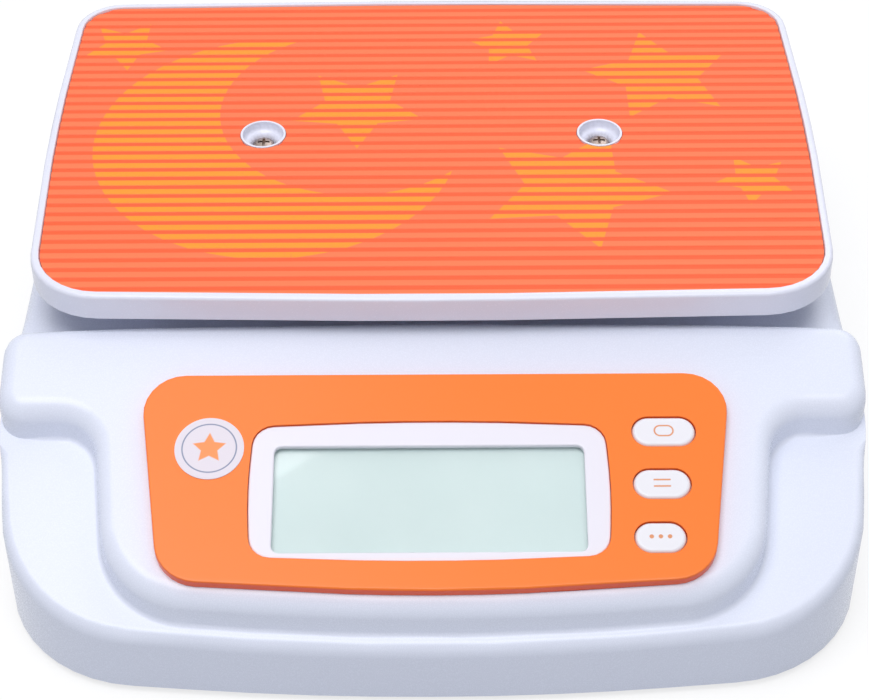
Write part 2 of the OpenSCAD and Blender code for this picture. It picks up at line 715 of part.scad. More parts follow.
module socket_screw(head_d, head_h, d, l) {
    translate([0, 0, -0.5]) cylinder(d = d, h = l + 0.5);
    difference() {
        translate([0, 0, -head_h]) cylinder(d = head_d, h = head_h);
        translate([0, 0, -head_h - 1]) cylinder(d = 5.7, h = 3.6, $fn = 6);
    }
}

module cell_base_screws() {
    color("dimgray") for (dx = [-1, 1])
        translate([-plinth_x + dx * cell_screw_dx, cell_y, floor_top + plinth_h - cell_grip])
            socket_screw(10, cell_screw_head, m6, cell_grip + spacer_t + cell_grip);
}

module cell_top_screws() {
    color("dimgray") for (dx = [-1, 1])
        translate([plinth_x + dx * cell_screw_dx, cell_y, support_z + support_t]) mirror([0, 0, 1])
            socket_screw(10, cell_screw_head, m6, support_t + support_z - cell_top + cell_grip);
}

// The bar's free end can sink by this much before it meets the stop.
stop_gap = 0.6;
module overload_stop() {
    color("dimgray") translate([plinth_x, cell_y, 0]) {
        translate([0, 0, floor_z + 0.3]) cylinder(d = m6, h = cell_z - stop_gap - floor_z - 0.3);
        translate([0, 0, floor_top]) difference() {
            cylinder(d = 11.5, h = 5, $fn = 6);
            translate([0, 0, -1]) cylinder(d = m6, h = 7);
        }
    }
}

// ---- Platform ----
rim_z = ridge_z + rim_gap;
platform_top = rim_z + rim_h;
mat_z = platform_top - 2.2;
mat_t = 1.2;
plate_t = 2.2;
tray_y = cell_y + 3;
tray_places = [for (sx = [-1, 1]) [sx * tray_spacing / 2, tray_y]];
tray_screw_d = 5;
tray_screw_end = 3;
support_w = tray_spacing + 30;
support_hole_d = 14;
platform_plan = [for (v = mirrored([
    [0, -platform_d / 2 - 0.8, 2200, 4],
    [platform_w / 2 - 3, -platform_d / 2 + 2.4, 26, 8],
    [platform_w / 2 + 0.4, 8, 1100, 4],
    [platform_w / 2 - 3, platform_d / 2 - 1.4, 18, 8],
    [0, platform_d / 2 + 0.6, 3000, 4]])) [v[0], v[1] + cell_y, v[2], v[3]]];

module platform_support() {
    flange = 6;
    depth = cell_w + 30;
    color("silver") difference() {
        union() {
            translate([-support_w / 2, cell_y - depth / 2, support_z]) cube([support_w, depth, support_t]);
            for (sy = [-1, 1]) translate([-support_w / 2, cell_y + sy * (depth / 2 - 1) - 1, support_z])
                cube([support_w, 2, support_t + flange]);
        }
        cell_screw_holes(plinth_x, support_z - 1, support_t + 2, m6 + 0.6);
        for (p = tray_places) translate([p[0], p[1], support_z - 1])
            cylinder(d = tray_screw_d + 0.1, h = support_t + 2);
        for (k = [0:2]) translate([-support_w / 3 + k * support_w / 5, cell_y - depth / 4, support_z - 1])
            cylinder(d = support_hole_d, h = support_t + 2);
    }
}

cup_wall = 0.8;
cup_depth = 2.4;
cup_seat = mat_z - 2.6;
cup_neck_d = 9.4;
cup_rim_z = mat_z + 1.8;
web_t = 1.8;
module weighing_platform() {
    lip_r = 1.4;
    color("white") difference() {
        union() {
            loft([heights(outline(platform_plan, lip_w + 4), mat_z - plate_t),
                heights(outline(platform_plan, 2.2), mat_z - plate_t - 2.2),
                heights(outline(platform_plan, 2), rim_z),
                heights(outline(platform_plan, 0.6), rim_z),
                heights(outline(platform_plan, 0), rim_z + 0.6),
                heights(outline(platform_plan, 0), platform_top - lip_r),
                heights(outline(platform_plan, lip_r * (1 - cos(45))),
                    platform_top - lip_r * (1 - sin(45))),
                heights(outline(platform_plan, lip_r), platform_top),
                heights(outline(platform_plan, lip_w - 0.3), platform_top),
                heights(outline(platform_plan, lip_w), platform_top - 0.3),
                heights(outline(platform_plan, lip_w), mat_z)],
                [0, cell_y, mat_z - plate_t], [0, cell_y, mat_z]);
            for (p = tray_places) translate([p[0], p[1], 0]) {
                translate([0, 0, support_z + support_t])
                    cylinder(d = 13, h = mat_z - support_z - support_t - 1);
                translate([0, 0, cup_seat]) cylinder(d = cup_d + 2 * cup_wall, h = cup_rim_z - cup_seat);
            }
            platform_ribs();
        }
        for (p = tray_places) translate([p[0], p[1], 0]) {
            translate([0, 0, cup_rim_z - cup_depth]) cylinder(d = cup_d, h = cup_depth + 1);
            translate([0, 0, cup_seat + 0.2])
                cylinder(d1 = cup_neck_d, d2 = cup_d, h = cup_rim_z - cup_depth - cup_seat - 0.2 + 0.001);
            translate([0, 0, cup_seat - 1.8]) cylinder(d = cup_neck_d, h = 3);
            translate([0, 0, support_z]) cylinder(d = tray_screw_d + 0.6, h = mat_z - support_z);
        }
    }
}

// Webs under the plate, clear of the support.
module platform_ribs() {
    rib_z = rim_z + 2;
    rib_top = mat_z - plate_t + bite;
    for (k = [-2, -1, 1, 2])
        translate([k * platform_w / 6 - web_t / 2, cell_y - platform_d / 2 + 2, rib_z])
            cube([web_t, platform_d - 4, rib_top - rib_z]);
    for (sy = [-1, 1])
        translate([-platform_w / 2 + 2.5, cell_y + sy * platform_d / 4 - web_t / 2, rib_z])
            cube([platform_w - 5, web_t, rib_top - rib_z]);
}

// The mat's ribs run across it; one comb section makes them all.
module platform_mat() {
    depth = platform_d - 2 * lip_w;
    count = floor(depth / rib_pitch);
    start = cell_y - count * rib_pitch / 2;
    comb = concat([[start - rib_pitch, mat_t]],
        [for (k = [0:count]) each [
            [start + (k - 0.34) * rib_pitch, mat_t], [start + (k - 0.24) * rib_pitch, mat_t + rib_h],
            [start + (k + 0.24) * rib_pitch, mat_t + rib_h], [start + (k + 0.34) * rib_pitch, mat_t]]],
        [[start + (count + 1) * rib_pitch, mat_t], [start + (count + 1) * rib_pitch, 0],
            [start - rib_pitch, 0]]);
    color("tomato") difference() {
        intersection() {
            plan_slab(platform_plan, lip_w + 0.25, mat_z, mat_z + 3);
            translate([-platform_w / 2 - 5, 0, mat_z]) rotate([90, 0, 90]) linear_extrude(platform_w + 10)
                polygon(comb);
        }
        for (p = tray_places) translate([p[0], p[1], mat_z - 1])
            cylinder(d = cup_d + 2 * cup_wall + 0.4, h = 5);
    }
}

module platform_screws() {
    head_z = cup_seat - 1.8;
    color("silver") for (p = tray_places) translate([p[0], p[1], 0]) {
        translate([0, 0, head_z]) difference() {
            rotate_extrude() polygon([[0, 0], [4.1, 0], [4.1, 1.2], [3.2, 2.2], [1.6, 2.7], [0, 2.8]]);
            for (a = [0, 90]) rotate(a) translate([-2.2, -0.5, 1]) cube([4.4, 1, 3]);
        }
        translate([0, 0, support_z - tray_screw_end])
            cylinder(d = tray_screw_d, h = head_z - support_z + tray_screw_end + 0.1);
    }
}

upper_housing();
lower_housing();
housing_screws();
rubber_feet();
battery_door();
batteries();
battery_springs();
battery_tabs();
control_panel();
lcd_bezel();
display_window();
lcd_glass();
lcd_frame();
contact_strips();
circuit_board();
board_screws();
switch_bodies();
plunger(0);  // tare_plunger
plunger(1);  // mode_plunger
plunger(2);  // memory_plunger
button(0);  // tare_button
button(1);  // mode_button
button(2);  // memory_button
panel_disc();
load_cell();
lower_spacer();
upper_spacer();
cell_base_screws();
cell_top_screws();
overload_stop();
platform_support();
weighing_platform();
platform_mat();
platform_screws();
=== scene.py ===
# Digital baby weighing scale: the finish of every piece, in the order it is put together.
import math

import bmesh
import bpy
from mathutils import Matrix, Vector


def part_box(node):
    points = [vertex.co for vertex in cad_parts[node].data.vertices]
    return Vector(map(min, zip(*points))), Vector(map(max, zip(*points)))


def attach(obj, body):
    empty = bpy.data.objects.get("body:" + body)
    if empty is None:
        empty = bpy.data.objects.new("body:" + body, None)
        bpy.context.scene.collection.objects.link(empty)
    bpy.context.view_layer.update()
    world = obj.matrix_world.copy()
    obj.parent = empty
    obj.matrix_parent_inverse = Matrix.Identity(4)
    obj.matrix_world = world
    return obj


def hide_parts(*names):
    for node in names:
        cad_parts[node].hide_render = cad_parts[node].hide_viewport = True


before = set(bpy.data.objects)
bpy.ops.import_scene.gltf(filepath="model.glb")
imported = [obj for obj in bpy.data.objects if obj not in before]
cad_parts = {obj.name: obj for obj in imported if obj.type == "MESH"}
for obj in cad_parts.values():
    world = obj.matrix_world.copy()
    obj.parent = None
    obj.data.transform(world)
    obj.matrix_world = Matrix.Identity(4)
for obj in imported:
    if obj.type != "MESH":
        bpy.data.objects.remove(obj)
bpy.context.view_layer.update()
MM = 0.001


# ---- Upper housing ----
# The moulded upper shell of the base: lower tier, raised console and deck in one part.
# It is injection moulded in glossy white ABS, and six screws from below close it.
# Its edges carry a painted highlight, a thin brighter line in patches.

HOUSING_WHITE = (232, 237, 252)
HOUSING_EDGE_HIGHLIGHT = (244, 247, 255)


def srgb(red, green, blue):
    """A colour as a screen shows it, from 0 to 255, in the linear values of a shader."""
    return [((c / 255 + 0.055) / 1.055) ** 2.4 for c in (red, green, blue)] + [1.0]


def new_group(name, inputs, outputs):
    """An empty node group with its sockets, and its two end nodes."""
    group = bpy.data.node_groups.new(name, "ShaderNodeTree")
    for label, kind, value in inputs:
        socket = group.interface.new_socket(label, in_out="INPUT", socket_type=kind)
        if value is not None:
            socket.default_value = value
    for label, kind in outputs:
        group.interface.new_socket(label, in_out="OUTPUT", socket_type=kind)
    return group, group.nodes.new("NodeGroupInput"), group.nodes.new("NodeGroupOutput")


def math_node(tree, operation, *values):
    """A Math node whose inputs are numbers or sockets."""
    node = tree.nodes.new("ShaderNodeMath")
    node.operation = operation
    for socket, value in zip(node.inputs, values):
        if isinstance(value, (int, float)):
            socket.default_value = value
        else:
            tree.links.new(value, socket)
    return node.outputs[0]


def noise_node(tree, vector, scale, detail):
    """A noise on a vector, in turns per metre."""
    node = tree.nodes.new("ShaderNodeTexNoise")
    node.inputs["Detail"].default_value = detail
    if isinstance(scale, (int, float)):
        node.inputs["Scale"].default_value = scale
    else:
        tree.links.new(scale, node.inputs["Scale"])
    tree.links.new(vector, node.inputs["Vector"])
    return node.outputs["Fac"]


def between(tree, value, low, high, to_low=0.0, to_high=1.0):
    """A value's place between two limits, clamped and spread over a new span."""
    node = tree.nodes.new("ShaderNodeMapRange")
    for socket, number in zip(node.inputs, (value, low, high, to_low, to_high)):
        if isinstance(number, (int, float)):
            socket.default_value = number
        else:
            tree.links.new(number, socket)
    return node.outputs["Result"]


def blend_colours(tree, share, first, second):
    """One colour laid over another by a share; each is a socket or four numbers."""
    node = tree.nodes.new("ShaderNodeMix")
    node.data_type = "RGBA"
    for socket, value in ((node.inputs[0], share), (node.inputs[6], first), (node.inputs[7], second)):
        if isinstance(value, (int, float, list)):
            socket.default_value = value
        else:
            tree.links.new(value, socket)
    return node.outputs[2]


def make_moulded_skin():
    """Moulded plastic: faint cloudiness, fine tool grain and stray hairline scratches."""
    group, start, end = new_group(
        "moulded skin",
        [("Colour", "NodeSocketColor", None), ("Cloud", "NodeSocketFloat", 0.5),
         ("Gloss", "NodeSocketFloat", 0.3), ("Grain size", "NodeSocketFloat", 2500.0),
         ("Scratches", "NodeSocketFloat", 0.3)],
        [("Colour", "NodeSocketColor"), ("Roughness", "NodeSocketFloat"),
         ("Height", "NodeSocketFloat")])
    place = group.nodes.new("ShaderNodeTexCoord").outputs["Object"]
    cloud = noise_node(group, place, 9.0, 1.0)
    grain = noise_node(group, place, start.outputs["Grain size"], 2.0)
    streak = group.nodes.new("ShaderNodeMapping")
    streak.inputs["Rotation"].default_value = (0.0, 0.0, 0.6)
    streak.inputs["Scale"].default_value = (1.0, 60.0, 24.0)
    group.links.new(place, streak.inputs["Vector"])
    hairs = between(group, noise_node(group, streak.outputs["Vector"], 60.0, 1.0), 0.66, 0.8)
    shade = between(group, cloud, 0.15, 0.85, -0.5, 0.5)
    shade = math_node(group, "MULTIPLY", shade, math_node(group, "MULTIPLY", start.outputs["Cloud"], 0.03))
    tone = group.nodes.new("ShaderNodeHueSaturation")
    group.links.new(start.outputs["Colour"], tone.inputs["Color"])
    group.links.new(math_node(group, "ADD", 1.0, shade), tone.inputs["Value"])
    marks = math_node(group, "MULTIPLY", hairs, start.outputs["Scratches"])
    rough = math_node(group, "ADD", start.outputs["Gloss"], between(group, grain, 0.3, 0.7, -0.02, 0.02))
    rough = math_node(group, "ADD", rough, math_node(group, "MULTIPLY", marks, 0.05))
    height = math_node(group, "SUBTRACT", grain, math_node(group, "MULTIPLY", marks, 0.1))
    group.links.new(tone.outputs["Color"], end.inputs["Colour"])
    group.links.new(rough, end.inputs["Roughness"])
    group.links.new(height, end.inputs["Height"])
    return group


def make_painted_edge_light():
    """Mask for painted edge light: convex and concave edges, from the angle of true and rounded normal."""
    group, start, end = new_group(
        "painted edge light", [("Radius", "NodeSocketFloat", 0.0006)], [("Mask", "NodeSocketFloat")])
    rounded = group.nodes.new("ShaderNodeBevel")
    rounded.samples = 4
    group.links.new(start.outputs["Radius"], rounded.inputs["Radius"])
    true = group.nodes.new("ShaderNodeNewGeometry")
    dot = group.nodes.new("ShaderNodeVectorMath")
    dot.operation = "DOT_PRODUCT"
    group.links.new(rounded.outputs["Normal"], dot.inputs[0])
    group.links.new(true.outputs["Normal"], dot.inputs[1])
    place = group.nodes.new("ShaderNodeTexCoord").outputs["Object"]
    patchy = between(group, noise_node(group, place, 160.0, 4.0), 0.35, 0.6)
    edge = between(group, dot.outputs["Value"], 0.98, 0.86)
    group.links.new(math_node(group, "MULTIPLY", edge, patchy), end.inputs["Mask"])
    return group


MOULDED_SKIN = make_moulded_skin()
PAINTED_EDGE_LIGHT = make_painted_edge_light()


def add_group(tree, group, **values):
    """A placed node group with its own numbers."""
    node = tree.nodes.new("ShaderNodeGroup")
    node.node_tree = group
    for label, value in values.items():
        node.inputs[label.replace("_", " ")].default_value = value
    return node


def add_bump(tree, height, normal_socket, strength, distance):
    """A bump from a height, in metres at full strength."""
    bump = tree.nodes.new("ShaderNodeBump")
    bump.inputs["Strength"].default_value = strength
    bump.inputs["Distance"].default_value = distance
    tree.links.new(height, bump.inputs["Height"])
    tree.links.new(bump.outputs["Normal"], normal_socket)


def moulded_plastic(name, colour, painted_edge_colour, gloss, grain=2500.0, depth=0.02 * MM, shine=0.5):
    """A moulded plastic with its own colour, gloss and grain, and painted light on its edges."""
    material = bpy.data.materials.new(name)
    material.use_nodes = True
    tree = material.node_tree
    shader = tree.nodes["Principled BSDF"]
    skin = add_group(tree, MOULDED_SKIN, Colour=srgb(*colour), Gloss=gloss, Grain_size=grain)
    edge = add_group(tree, PAINTED_EDGE_LIGHT)
    # Painted edge light: edges half blended into the edge colour, a painted highlight where it is paler,
    # painted shade where darker.
    share = math_node(tree, "MULTIPLY", edge.outputs["Mask"], 0.5)
    painted = blend_colours(tree, share, skin.outputs["Colour"], srgb(*painted_edge_colour))
    tree.links.new(painted, shader.inputs["Base Color"])
    tree.links.new(skin.outputs["Roughness"], shader.inputs["Roughness"])
    add_bump(tree, skin.outputs["Height"], shader.inputs["Normal"], 0.25, depth)
    shader.inputs["Specular IOR Level"].default_value = shine
    return material


def smooth_copy(node, body, material, bevel=0.0, segments=3, sharp=32.0, round_over=32.0):
    """The node's own shape as one clean mesh, with rounded edges and smooth shading, in the node's place."""
    piece = bpy.data.objects.new(node + "_finish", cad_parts[node].data.copy())
    bpy.context.scene.collection.objects.link(piece)
    mesh = bmesh.new()
    mesh.from_mesh(piece.data)
    bmesh.ops.remove_doubles(mesh, verts=mesh.verts, dist=0.004 * MM)
    bmesh.ops.dissolve_limit(mesh, angle_limit=math.radians(0.6), verts=mesh.verts, edges=mesh.edges)
    mesh.to_mesh(piece.data)
    mesh.free()
    piece.data.materials.clear()
    piece.data.materials.append(material)
    piece.data.shade_smooth()
    piece.data.set_sharp_from_angle(angle=math.radians(sharp))
    if bevel:
        rounding = piece.modifiers.new("rounded edges", "BEVEL")
        rounding.width = bevel
        rounding.segments = segments
        rounding.limit_method = "ANGLE"
        rounding.angle_limit = math.radians(round_over)
        rounding.harden_normals = False
        rounding.use_clamp_overlap = True
    shading = piece.modifiers.new("even shading", "WEIGHTED_NORMAL")
    shading.keep_sharp = True
    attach(piece, body)
    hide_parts(node)


def finish_node(node, material):
    """A node that keeps its own mesh and gets its finish."""
    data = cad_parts[node].data
    data.materials.clear()
    data.materials.append(material)
    for face in data.polygons:
        face.material_index = 0


housing_plastic = moulded_plastic("housing plastic", HOUSING_WHITE, HOUSING_EDGE_HIGHLIGHT, 0.27)
smooth_copy("upper_housing", "base", housing_plastic, sharp=40.0)


# ---- Lower housing and battery door ----
# The floor of the base, with its battery bay, and the door that closes the bay.
# Both are the same white resin as the shell, with a matt spark-eroded grain.

floor_plastic = moulded_plastic("floor plastic", (216, 221, 236), HOUSING_EDGE_HIGHLIGHT, 0.5, grain=1400.0,
                                depth=0.05 * MM)
smooth_copy("lower_housing", "base", floor_plastic, bevel=0.3 * MM, segments=2)
smooth_copy("battery_door", "battery_door", floor_plastic, bevel=0.25 * MM, segments=2)


# ---- Screws that close the base ----
# Zinc-plated self-tapping screws with a cross recess, driven up into the shell's bosses.

def make_turned_metal():
    """Metal with fine machining lines round Z, a little tarnish and faint spots."""
    group, start, end = new_group(
        "turned metal",
        [("Colour", "NodeSocketColor", None), ("Tarnish", "NodeSocketColor", None),
         ("Gloss", "NodeSocketFloat", 0.3), ("Line scale", "NodeSocketFloat", 900.0)],
        [("Colour", "NodeSocketColor"), ("Roughness", "NodeSocketFloat"),
         ("Height", "NodeSocketFloat")])
    place = group.nodes.new("ShaderNodeTexCoord").outputs["Object"]
    stretch = group.nodes.new("ShaderNodeMapping")
    stretch.inputs["Scale"].default_value = (1.0, 1.0, 12.0)
    group.links.new(place, stretch.inputs["Vector"])
    lines = noise_node(group, stretch.outputs["Vector"], start.outputs["Line scale"], 2.0)
    stain = between(group, noise_node(group, place, 140.0, 5.0), 0.45, 0.75)
    colour = blend_colours(group, math_node(group, "MULTIPLY", stain, 0.7),
                           start.outputs["Colour"], start.outputs["Tarnish"])
    rough = math_node(group, "ADD", start.outputs["Gloss"], between(group, lines, 0.3, 0.7, -0.05, 0.1))
    rough = math_node(group, "ADD", rough, math_node(group, "MULTIPLY", stain, 0.12))
    group.links.new(colour, end.inputs["Colour"])
    group.links.new(rough, end.inputs["Roughness"])
    group.links.new(lines, end.inputs["Height"])
    return group


TURNED_METAL = make_turned_metal()


def plated_metal(name, colour, tarnish, gloss, line_scale=900.0):
    """A bare or plated metal with its own colour and polish."""
    material = bpy.data.materials.new(name)
    material.use_nodes = True
    tree = material.node_tree
    shader = tree.nodes["Principled BSDF"]
    shader.inputs["Metallic"].default_value = 1.0
    turned = add_group(tree, TURNED_METAL, Colour=srgb(*colour), Tarnish=srgb(*tarnish), Gloss=gloss,
                       Line_scale=line_scale)
    tree.links.new(turned.outputs["Colour"], shader.inputs["Base Color"])
    tree.links.new(turned.outputs["Roughness"], shader.inputs["Roughness"])
    add_bump(tree, turned.outputs["Height"], shader.inputs["Normal"], 0.3, 0.01 * MM)
    return material


zinc = plated_metal("zinc plate", (190, 192, 196), (128, 122, 112), 0.3)
smooth_copy("housing_screws", "base", zinc, bevel=0.12 * MM, segments=2)


# ---- Feet ----
# Four pads of dark grey rubber, pushed into the floor from below.

def moulded_rubber(name, colour, dust):
    """Rubber with a fine grain and pale dust in patches."""
    material = bpy.data.materials.new(name)
    material.use_nodes = True
    tree = material.node_tree
    shader = tree.nodes["Principled BSDF"]
    skin = add_group(tree, MOULDED_SKIN, Colour=srgb(*colour), Gloss=0.65, Grain_size=1100.0, Cloud=1.5,
                     Scratches=0.1)
    place = tree.nodes.new("ShaderNodeTexCoord").outputs["Object"]
    dusty = between(tree, noise_node(tree, place, 220.0, 6.0), 0.5, 0.8, 0.0, 0.35)
    tree.links.new(blend_colours(tree, dusty, skin.outputs["Colour"], srgb(*dust)),
                   shader.inputs["Base Color"])
    tree.links.new(skin.outputs["Roughness"], shader.inputs["Roughness"])
    add_bump(tree, skin.outputs["Height"], shader.inputs["Normal"], 0.4, 0.06 * MM)
    return material


smooth_copy("rubber_feet", "base",
            moulded_rubber("foot rubber", (62, 63, 66), (120, 120, 120)), bevel=0.2 * MM)


# ---- Batteries and their contacts ----
# Four AA cells in printed sleeves, laid head to tail between nickel-plated cone springs
# and dimpled plates.

BATTERY_GAP = 0.4 * MM


def battery_sleeve():
    """Shrink sleeve: slate body and a silver band towards the positive end, which changes sides
    from one cell to the next."""
    material = moulded_plastic("battery sleeve", (58, 84, 106), (104, 124, 140), 0.2)
    tree = material.node_tree
    shader = tree.nodes["Principled BSDF"]
    low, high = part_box("batteries")
    pitch = (high.x - low.x + BATTERY_GAP) / 4
    middle_y, length = (low.y + high.y) / 2, high.y - low.y
    place = tree.nodes.new("ShaderNodeTexCoord").outputs["Object"]
    split = tree.nodes.new("ShaderNodeSeparateXYZ")
    tree.links.new(place, split.inputs["Vector"])
    turn = math_node(tree, "MULTIPLY_ADD", split.outputs["X"], math.pi / pitch, 1.5 * math.pi)
    end = math_node(tree, "SIGN", math_node(tree, "COSINE", turn))
    along = math_node(tree, "MULTIPLY", math_node(tree, "SUBTRACT", split.outputs["Y"], middle_y), end)
    band_edge = 0.22 * length
    band = between(tree, along, band_edge - 0.1 * MM, band_edge + 0.1 * MM)
    painted = shader.inputs["Base Color"].links[0].from_socket
    tree.links.new(blend_colours(tree, band, painted, srgb(192, 195, 200)), shader.inputs["Base Color"])
    return material


nickel = plated_metal("nickel plate", (200, 196, 186), (150, 140, 122), 0.22)
smooth_copy("batteries", "base", battery_sleeve(), bevel=0.15 * MM, segments=2)
smooth_copy("battery_springs", "base", nickel, sharp=62.0)
smooth_copy("battery_tabs", "base", nickel, bevel=0.1 * MM, segments=2)


# ---- Control panel ----
# The orange face of the console, carried on four posts that also hold the board.
# Coloured ABS with a soft polish, with painted shade on its sides and edges, a deeper orange than its face.

PANEL_ORANGE = (255, 128, 38)
PANEL_EDGE_SHADE = (226, 84, 30)
PANEL_SIDE_SHADE = (246, 84, 14)


def print_on(material, mask, ink):
    """Another colour over a finished plastic where a mask says."""
    tree = material.node_tree
    shader = tree.nodes["Principled BSDF"]
    under = shader.inputs["Base Color"].links[0].from_socket
    tree.links.new(blend_colours(tree, mask, under, srgb(*ink)), shader.inputs["Base Color"])


# The round disc lies flat on the panel, so its largest face gives the panel's tilt.
disc_faces = [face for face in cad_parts["panel_disc"].data.polygons if face.normal.z > 0.5]
panel_normal = max(disc_faces, key=lambda face: face.area).normal.copy()
PANEL_SLOPE = 1 / panel_normal.z
panel_plastic = moulded_plastic("panel plastic", PANEL_ORANGE, PANEL_EDGE_SHADE, 0.3, depth=0.012 * MM, shine=0.45)
panel_top = max(vertex.co.dot(panel_normal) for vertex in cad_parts["control_panel"].data.vertices)
tree = panel_plastic.node_tree
above = tree.nodes.new("ShaderNodeVectorMath")
above.operation = "DOT_PRODUCT"
above.inputs[1].default_value = panel_normal
tree.links.new(tree.nodes.new("ShaderNodeTexCoord").outputs["Object"], above.inputs[0])
# Painted shade: the panel's sides below its face are painted a deeper orange.
side = between(tree, above.outputs["Value"], panel_top - 0.3 * MM, panel_top - 0.9 * MM)
print_on(panel_plastic, side, PANEL_SIDE_SHADE)
smooth_copy("control_panel", "base", panel_plastic, sharp=32.0)


# ---- Display ----
# A white barrel-shaped surround clipped into the panel, a clear window behind it,
# and the liquid crystal glass in its holder on two rubber contact strips.

surround_plastic = moulded_plastic("surround plastic", (240, 237, 247), (248, 247, 254), 0.25)
smooth_copy("lcd_bezel", "base", surround_plastic, bevel=0.8 * MM, segments=4,
            round_over=50.0)


def clear_plastic():
    """Clear acrylic that lets lamp light through and keeps its reflections."""
    material = bpy.data.materials.new("window acrylic")
    material.use_nodes = True
    tree = material.node_tree
    shader = tree.nodes["Principled BSDF"]
    shader.inputs["Transmission Weight"].default_value = 1.0
    shader.inputs["IOR"].default_value = 1.49
    place = tree.nodes.new("ShaderNodeTexCoord").outputs["Object"]
    haze = noise_node(tree, place, 30.0, 4.0)
    tree.links.new(between(tree, haze, 0.3, 0.7, 0.01, 0.05), shader.inputs["Roughness"])
    tree.links.new(blend_colours(tree, haze, srgb(247, 251, 251), srgb(255, 255, 255)),
                   shader.inputs["Base Color"])
    path = tree.nodes.new("ShaderNodeLightPath")
    lit = math_node(tree, "MAXIMUM", path.outputs["Is Shadow Ray"], path.outputs["Is Diffuse Ray"])
    clear = tree.nodes.new("ShaderNodeBsdfTransparent")
    mix = tree.nodes.new("ShaderNodeMixShader")
    tree.links.new(lit, mix.inputs[0])
    tree.links.new(shader.outputs[0], mix.inputs[1])
    tree.links.new(clear.outputs[0], mix.inputs[2])
    tree.links.new(mix.outputs[0], tree.nodes["Material Output"].inputs["Surface"])
    return material


smooth_copy("display_window", "base", clear_plastic(), bevel=0.1 * MM, segments=2)


def display_glass():
    """Unlit liquid crystal: a pale grey-green mirror film behind glass, faintly clouded."""
    material = bpy.data.materials.new("display glass")
    material.use_nodes = True
    tree = material.node_tree
    shader = tree.nodes["Principled BSDF"]
    place = tree.nodes.new("ShaderNodeTexCoord").outputs["Object"]
    cloud = noise_node(tree, place, 14.0, 3.0)
    film = noise_node(tree, place, 3200.0, 1.0)
    pale = blend_colours(tree, between(tree, cloud, 0.3, 0.7), srgb(206, 224, 222), srgb(214, 232, 230))
    tree.links.new(pale, shader.inputs["Base Color"])
    tree.links.new(between(tree, film, 0.3, 0.7, 0.16, 0.24), shader.inputs["Roughness"])
    add_bump(tree, film, shader.inputs["Normal"], 0.1, 0.01 * MM)
    return material


smooth_copy("lcd_glass", "base", display_glass(), bevel=0.1 * MM, segments=2)
inner_plastic = moulded_plastic("inner plastic", (214, 216, 220), (232, 233, 236), 0.45)
smooth_copy("lcd_frame", "base", inner_plastic, bevel=0.2 * MM, segments=2)
finish_node("contact_strips", moulded_rubber("strip rubber", (222, 176, 178), (236, 220, 220)))


# ---- Circuit board and switches ----
# A green glass-fibre board screwed to the panel's posts, with three tactile switches.

def board_laminate():
    """Green solder mask, a little paler where the copper lies under it."""
    material = moulded_plastic("board laminate", (24, 98, 62), (60, 130, 90), 0.3)
    tree = material.node_tree
    shader = tree.nodes["Principled BSDF"]
    place = tree.nodes.new("ShaderNodeTexCoord").outputs["Object"]
    tracks = tree.nodes.new("ShaderNodeTexBrick")
    tracks.inputs["Scale"].default_value = 130.0
    tracks.inputs["Mortar Size"].default_value = 0.03
    tracks.inputs["Color1"].default_value = (0, 0, 0, 1)
    tracks.inputs["Color2"].default_value = (0, 0, 0, 1)
    tracks.inputs["Mortar"].default_value = (1, 1, 1, 1)
    tree.links.new(place, tracks.inputs["Vector"])
    under = shader.inputs["Base Color"].links[0].from_socket
    copper = blend_colours(tree, math_node(tree, "MULTIPLY", tracks.outputs["Color"], 0.6), under,
                           srgb(46, 140, 84))
    tree.links.new(copper, shader.inputs["Base Color"])
    return material


smooth_copy("circuit_board", "base", board_laminate(), bevel=0.08 * MM, segments=1)
smooth_copy("board_screws", "base", zinc, bevel=0.1 * MM, segments=2)
switch_plastic = moulded_plastic("switch plastic", (34, 35, 38), (70, 70, 74), 0.4)
smooth_copy("switch_bodies", "base", switch_plastic, bevel=0.15 * MM, segments=2)
BUTTONS = ("tare", "mode", "memory")
for button in BUTTONS:
    smooth_copy(button + "_plunger", button, switch_plastic, bevel=0.15 * MM, segments=2)


# ---- Buttons ----
# Three white pill-shaped caps in the panel, each with a flange behind it and a stem
# that presses its switch. Each has a plain pad-printed mark: a ring, two bars, three dots.

MARK_BROWN = (226, 150, 104)
PRINT_EDGE = 0.12 * MM
# Each mark is a row of pills in mm: across, along, half length, radius, and 1 for ink or 0 for bare.
BUTTON_MARKS = {"tare": [(0, 0, 1.2, 2.2, 1), (0, 0, 1.2, 1.65, 0)],
                "mode": [(0, 1.2, 2.6, 0.3, 1), (0, -1.2, 2.6, 0.3, 1)],
                "memory": [(-3, 0, 0, 0.75, 1), (0, 0, 0, 0.75, 1), (3, 0, 0, 0.75, 1)]}


